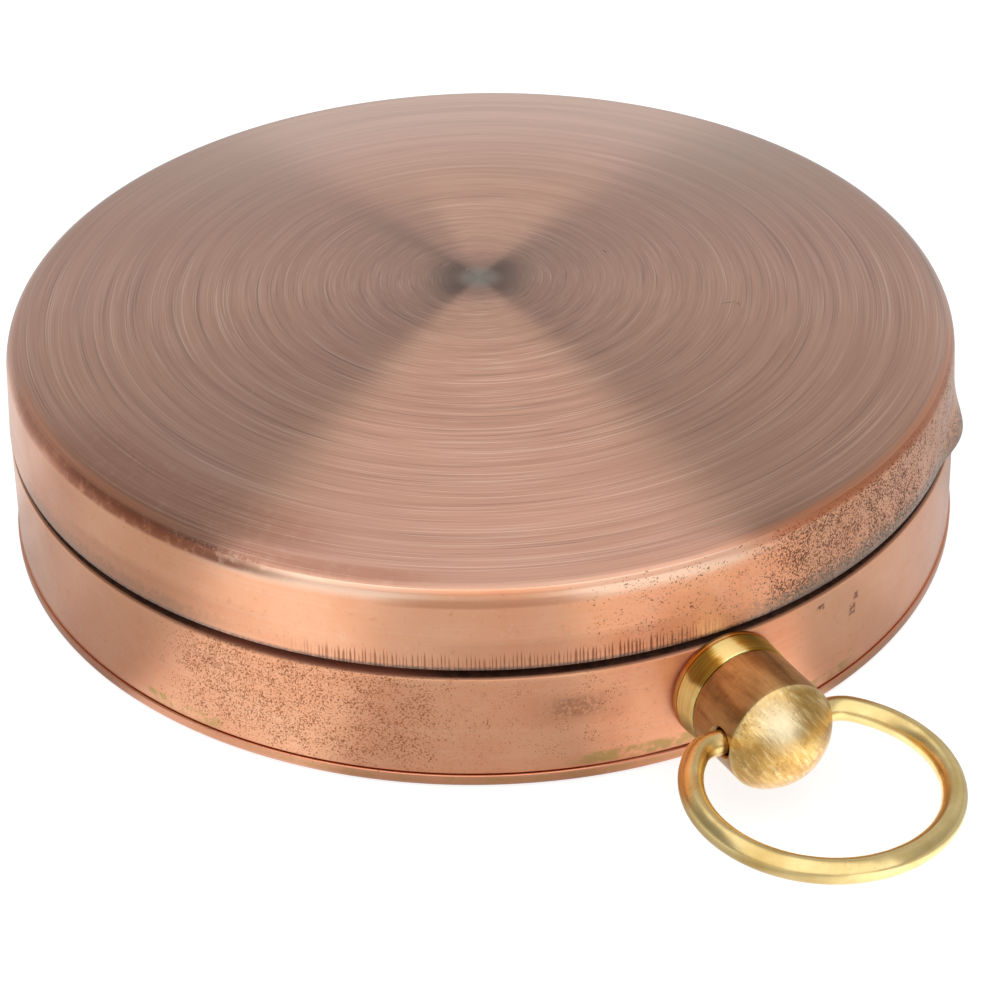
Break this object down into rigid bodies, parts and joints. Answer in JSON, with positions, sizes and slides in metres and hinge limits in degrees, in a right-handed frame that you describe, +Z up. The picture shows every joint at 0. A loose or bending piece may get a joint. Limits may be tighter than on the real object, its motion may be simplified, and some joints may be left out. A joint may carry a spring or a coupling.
{
  "type": "pocket compass",
  "caption": "Round pocket compass in a copper case with a hinged domed lid, a thumb bulge, a stem with a domed head and a swinging bow ring.",
  "frame": {"origin": "centre of the case's flat underside", "axes": "+Z up along the case's axis, -Y out along the stem, +Y towards the lid's hinge, +X to the thumb bulge's side"},
  "size_m": [0.051, 0.0678, 0.0131],
  "materials": {
    "spun_copper": "circular-brushed antique copper",
    "aged_copper": "aged copper with pitted speckle",
    "polished_brass": "polished pale brass",
    "bronzed_brass": "drawn brass with a bronze tint",
    "plain_brass": "plain turned brass",
    "steel": "ground steel",
    "blued_steel": "blued steel with a red north arm",
    "jewel": "polished synthetic jewel",
    "glass": "clear flat glass",
    "rubber": "black rubber",
    "card": "matt printed card"
  },
  "bodies": {
    "case": {"case_band": "aged_copper", "back_cover": "aged_copper", "bezel": "aged_copper", "crystal": "glass", "crystal_gasket": "rubber", "degree_ring": "card", "dial_card": "card", "dial_plate": "plain_brass", "capsule_pan": "plain_brass", "pivot_boss": "plain_brass", "pivot_pin": "steel", "case_hinge_leaf": "aged_copper", "hinge_pin": "plain_brass", "stem_collar": "polished_brass", "stem_post": "bronzed_brass", "stem_nut": "plain_brass"},
    "lid": {"lid_shell": "spun_copper", "lid_hinge_leaf": "aged_copper"},
    "bow": {"bow_ring": "polished_brass"},
    "needle": {"needle_blade": "blued_steel", "needle_cap": "plain_brass", "needle_jewel": "jewel"}
  },
  "joints": [
    {"name": "lid_hinge", "type": "hinge", "parent": "case", "child": "lid", "pos_m": [0, 0.02655, 0.00664], "axis": [-1, 0, 0], "range_deg": [0, 170]},
    {"name": "bow_swing", "type": "hinge", "parent": "case", "child": "bow", "pos_m": [0, -0.02947, 0.00408], "axis": [-0.9978, 0.0046, 0.0661], "range_deg": [-125, 118]},
    {"name": "needle_spin", "type": "hinge", "parent": "case", "child": "needle", "pos_m": [0, 0, 0.006], "axis": [0, 0, 1], "continuous": true}
  ]
}
